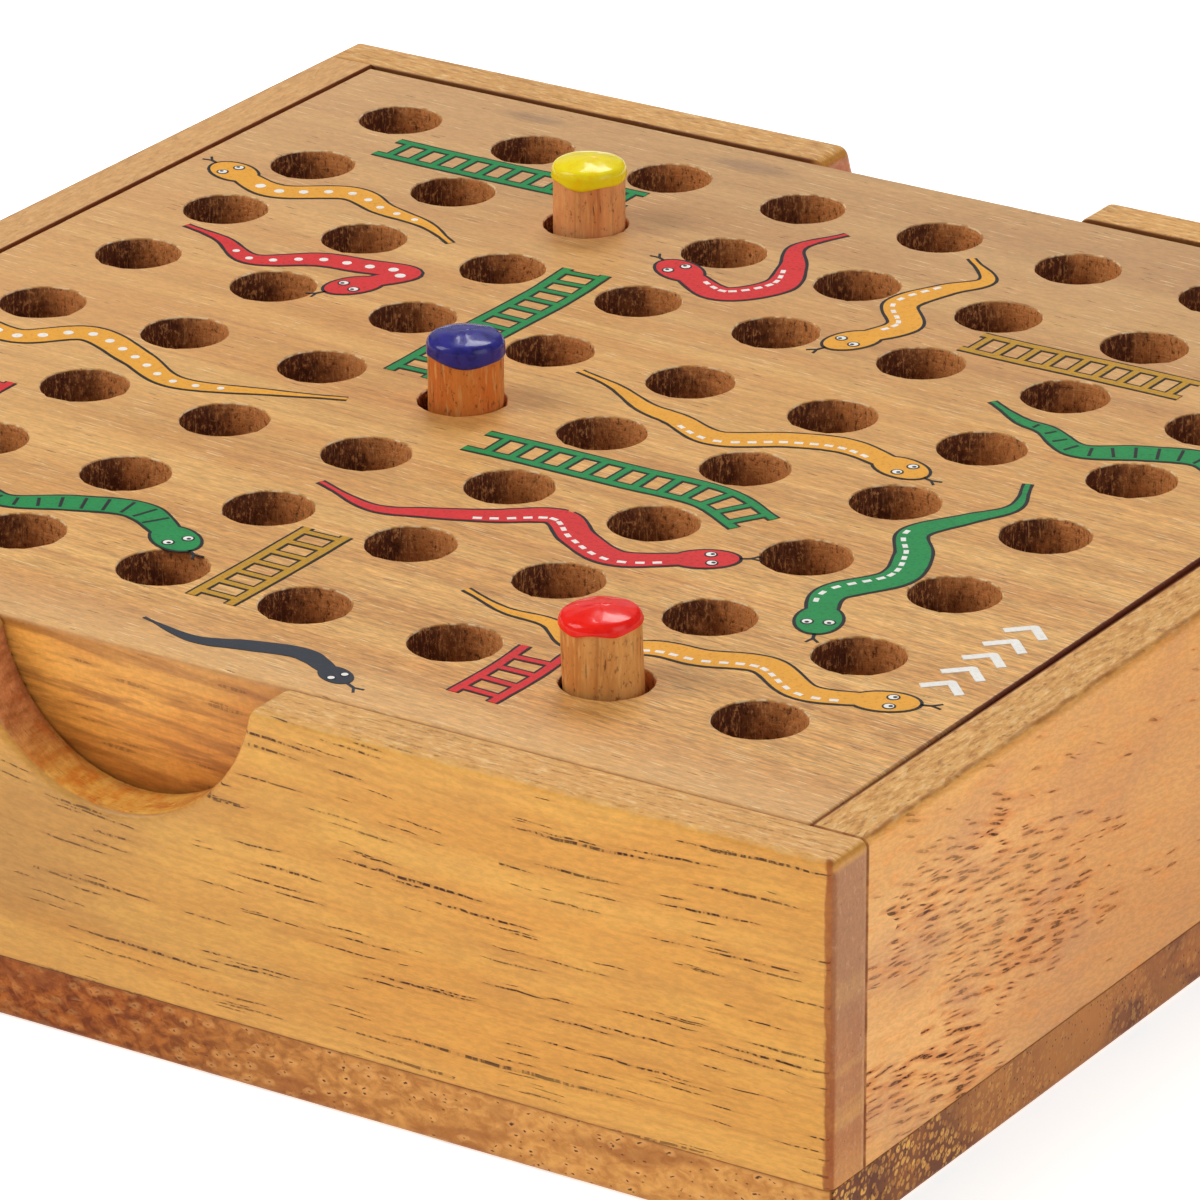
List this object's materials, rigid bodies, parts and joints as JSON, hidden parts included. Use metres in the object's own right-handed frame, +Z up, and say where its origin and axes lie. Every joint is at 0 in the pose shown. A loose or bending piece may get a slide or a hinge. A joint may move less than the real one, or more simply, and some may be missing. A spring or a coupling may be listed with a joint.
{
  "type": "snakes and ladders travel box",
  "caption": "Square wooden travel box with a thick drop-in play board full of peg holes, finger notches to lift it, coloured pegs, and a store beneath for pegs and die.",
  "frame": {"origin": "centre of the box on the surface it stands on", "axes": "+Z up, +X along the front wall towards the right wall, +Y from the front wall to the back wall"},
  "size_m": [0.15, 0.15, 0.0436],
  "materials": {
    "base_wood": "satin varnish",
    "wall_wood": "satin varnish",
    "strip_wood": "satin varnish",
    "board_wood": "satin varnish",
    "peg_wood": "satin varnish",
    "peg_wood_warm": "satin varnish",
    "die_wood": "satin varnish",
    "paint_red": "gloss enamel",
    "paint_blue": "gloss enamel",
    "paint_yellow": "gloss enamel",
    "paint_green": "gloss enamel",
    "ink_orange": "printed ink",
    "ink_green": "printed ink",
    "ink_red": "printed ink",
    "ink_slate": "printed ink",
    "ink_white": "printed ink",
    "ink_black": "printed ink",
    "ink_gold": "printed ink"
  },
  "bodies": {
    "box": {"base_board": "base_wood", "front_wall": "wall_wood", "back_wall": "wall_wood", "right_wall": "wall_wood", "left_wall": "wall_wood", "right_rest_strip": "strip_wood", "left_rest_strip": "strip_wood"},
    "board": {"play_board": "board_wood"},
    "red_peg": {"red_peg": "peg_wood"},
    "blue_peg": {"blue_peg": "peg_wood_warm"},
    "yellow_peg": {"yellow_peg": "peg_wood_warm"},
    "green_peg": {"green_peg": "peg_wood"},
    "die": {"die": "die_wood"}
  },
  "joints": [
    {"name": "board_lift", "type": "slide", "parent": "box", "child": "board", "axis": [0, 0, 1], "range_m": [0, 0.06]},
    {"name": "red_peg_lift", "type": "slide", "parent": "board", "child": "red_peg", "axis": [0, 0, 1], "range_m": [0, 0.03]},
    {"name": "blue_peg_lift", "type": "slide", "parent": "board", "child": "blue_peg", "axis": [0, 0, 1], "range_m": [0, 0.03]},
    {"name": "yellow_peg_lift", "type": "slide", "parent": "board", "child": "yellow_peg", "axis": [0, 0, 1], "range_m": [0, 0.03]},
    {"name": "green_peg_slide", "type": "slide", "parent": "box", "child": "green_peg", "axis": [0, 1, 0], "range_m": [0, 0.03]},
    {"name": "die_slide", "type": "slide", "parent": "box", "child": "die", "axis": [0, 1, 0], "range_m": [0, 0.035]}
  ]
}
